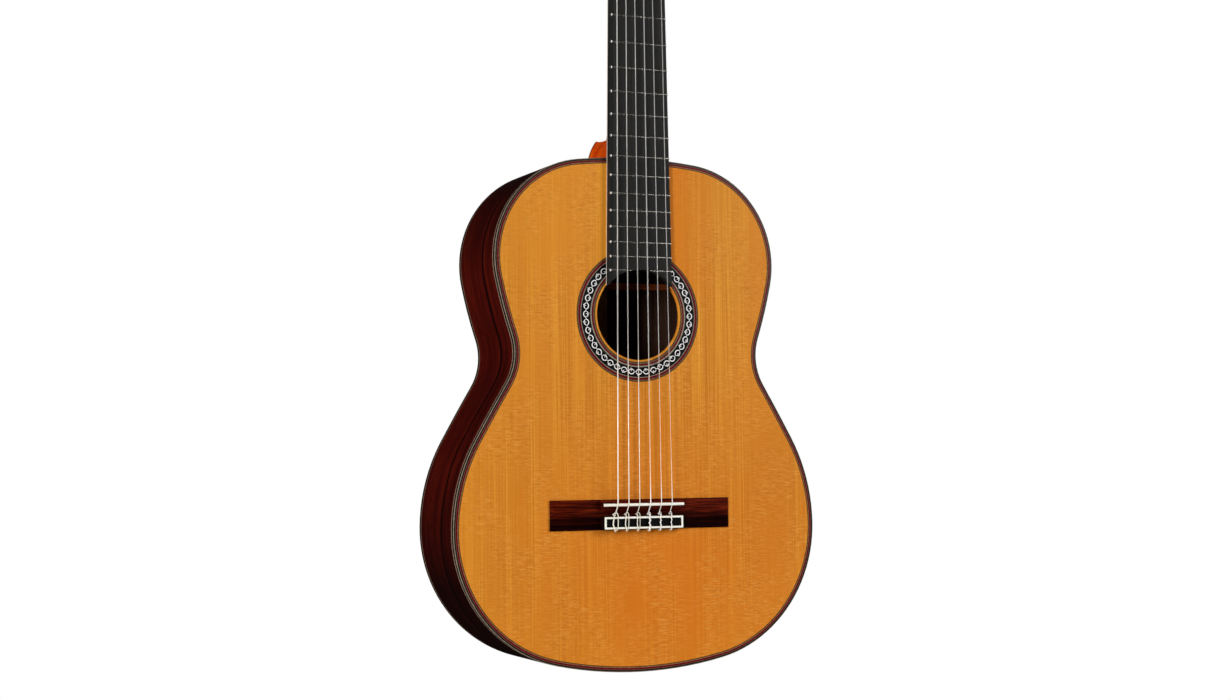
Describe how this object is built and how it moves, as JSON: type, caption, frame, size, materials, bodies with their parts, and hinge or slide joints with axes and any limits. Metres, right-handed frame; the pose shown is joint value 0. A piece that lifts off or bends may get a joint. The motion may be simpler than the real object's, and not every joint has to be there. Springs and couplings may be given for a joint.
{
  "type": "classical guitar",
  "caption": "Slim-bodied six-string classical guitar with a cedar top, rosewood back and ribs, tied bridge, slotted headstock and working worm-geared tuning machines.",
  "frame": {"origin": "on the neck's centre line at the nut line, in the plane of the soundboard and of the neck's front, where a neck hanger holds the guitar", "axes": "+Z along the neck towards the headstock; the soundboard and strings face -Y; the bass side is -X, so the treble side is +X"},
  "size_m": [0.3714, 0.1138, 1.005],
  "materials": {
    "cedar_top": "gloss lacquer over red cedar",
    "rosewood": "gloss lacquer over dark rosewood",
    "dark_binding": "gloss lacquer over dark rosewood",
    "purfling_lines": "dyed veneer lines under lacquer",
    "rosette_inlay": "dyed veneers with pearl, under lacquer",
    "neck_cedar": "satin-gloss lacquer over red-brown cedar",
    "brace_spruce": "bare spruce",
    "brace_cedar": "bare cedar",
    "ebony": "oiled ebony",
    "bridge_rosewood": "oiled rosewood",
    "nickel_silver": "polished fret wire",
    "bone": "polished bone",
    "gilt_brass": "polished, lightly worn",
    "steel": "turned steel",
    "roller_nylon": "moulded nylon barrel",
    "pearl_plastic": "moulded pearl-white plastic",
    "nylon_string": "clear nylon",
    "wound_string": "silver-plated winding"
  },
  "bodies": {
    "root": {"soundboard": "cedar_top", "rosette": "rosette_inlay", "back_bass": "rosewood", "back_treble": "rosewood", "rib_bass": "rosewood", "rib_treble": "rosewood", "end_graft": "dark_binding", "top_binding": "dark_binding", "back_binding": "dark_binding", "purfling": "purfling_lines", "heel_block": "neck_cedar", "tail_block": "neck_cedar", "linings": "brace_spruce", "soundboard_braces": "brace_spruce", "back_braces": "brace_cedar", "back_strip": "brace_spruce", "neck_shaft": "neck_cedar", "heel": "neck_cedar", "heel_cap": "dark_binding", "fingerboard": "ebony", "frets": "nickel_silver", "nut": "bone", "bridge": "bridge_rosewood", "saddle": "bone", "tie_block_trim": "bone", "headstock": "neck_cedar", "headplate": "rosewood", "tuner_plate_bass": "gilt_brass", "tuner_plate_treble": "gilt_brass", "tuner_screws": "gilt_brass", "string_1": "nylon_string", "string_2": "nylon_string", "string_3": "nylon_string", "string_4": "wound_string", "string_5": "wound_string", "string_6": "wound_string"},
    "button_1": {"tuner_button_1": "pearl_plastic", "tuner_worm_1": "steel"},
    "roller_1": {"tuner_roller_1": "roller_nylon", "tuner_gear_1": "gilt_brass"},
    "button_2": {"tuner_button_2": "pearl_plastic", "tuner_worm_2": "steel"},
    "roller_2": {"tuner_roller_2": "roller_nylon", "tuner_gear_2": "gilt_brass"},
    "button_3": {"tuner_button_3": "pearl_plastic", "tuner_worm_3": "steel"},
    "roller_3": {"tuner_roller_3": "roller_nylon", "tuner_gear_3": "gilt_brass"},
    "button_4": {"tuner_button_4": "pearl_plastic", "tuner_worm_4": "steel"},
    "roller_4": {"tuner_roller_4": "roller_nylon", "tuner_gear_4": "gilt_brass"},
    "button_5": {"tuner_button_5": "pearl_plastic", "tuner_worm_5": "steel"},
    "roller_5": {"tuner_roller_5": "roller_nylon", "tuner_gear_5": "gilt_brass"},
    "button_6": {"tuner_button_6": "pearl_plastic", "tuner_worm_6": "steel"},
    "roller_6": {"tuner_roller_6": "roller_nylon", "tuner_gear_6": "gilt_brass"}
  },
  "joints": [
    {"name": "button_1_turn", "type": "hinge", "parent": "root", "child": "button_1", "pos_m": [0.0417, 0.0168, 0.03777], "axis": [0, 0.9659, -0.2588], "continuous": true},
    {"name": "roller_1_turn", "type": "hinge", "parent": "root", "child": "roller_1", "pos_m": [0.0185, 0.01913, 0.04646], "axis": [1, 0, 0], "continuous": true},
    {"name": "button_2_turn", "type": "hinge", "parent": "root", "child": "button_2", "pos_m": [0.0417, 0.02586, 0.07158], "axis": [0, 0.9659, -0.2588], "continuous": true},
    {"name": "roller_2_turn", "type": "hinge", "parent": "root", "child": "roller_2", "pos_m": [0.0185, 0.02819, 0.08027], "axis": [1, 0, 0], "continuous": true},
    {"name": "button_3_turn", "type": "hinge", "parent": "root", "child": "button_3", "pos_m": [0.0417, 0.03492, 0.10538], "axis": [0, 0.9659, -0.2588], "continuous": true},
    {"name": "roller_3_turn", "type": "hinge", "parent": "root", "child": "roller_3", "pos_m": [0.0185, 0.03725, 0.11408], "axis": [1, 0, 0], "continuous": true},
    {"name": "button_4_turn", "type": "hinge", "parent": "root", "child": "button_4", "pos_m": [-0.0417, 0.03492, 0.10538], "axis": [0, 0.9659, -0.2588], "continuous": true},
    {"name": "roller_4_turn", "type": "hinge", "parent": "root", "child": "roller_4", "pos_m": [-0.0185, 0.03725, 0.11408], "axis": [1, 0, 0], "continuous": true},
    {"name": "button_5_turn", "type": "hinge", "parent": "root", "child": "button_5", "pos_m": [-0.0417, 0.02586, 0.07158], "axis": [0, 0.9659, -0.2588], "continuous": true},
    {"name": "roller_5_turn", "type": "hinge", "parent": "root", "child": "roller_5", "pos_m": [-0.0185, 0.02819, 0.08027], "axis": [1, 0, 0], "continuous": true},
    {"name": "button_6_turn", "type": "hinge", "parent": "root", "child": "button_6", "pos_m": [-0.0417, 0.0168, 0.03777], "axis": [0, 0.9659, -0.2588], "continuous": true},
    {"name": "roller_6_turn", "type": "hinge", "parent": "root", "child": "roller_6", "pos_m": [-0.0185, 0.01913, 0.04646], "axis": [1, 0, 0], "continuous": true}
  ],
  "couplings": [
    {"joint": "roller_1_turn", "follows": "button_1_turn", "ratio": -0.071429},
    {"joint": "roller_2_turn", "follows": "button_2_turn", "ratio": -0.071429},
    {"joint": "roller_3_turn", "follows": "button_3_turn", "ratio": -0.071429},
    {"joint": "roller_4_turn", "follows": "button_4_turn", "ratio": -0.071429},
    {"joint": "roller_5_turn", "follows": "button_5_turn", "ratio": -0.071429},
    {"joint": "roller_6_turn", "follows": "button_6_turn", "ratio": -0.071429}
  ]
}
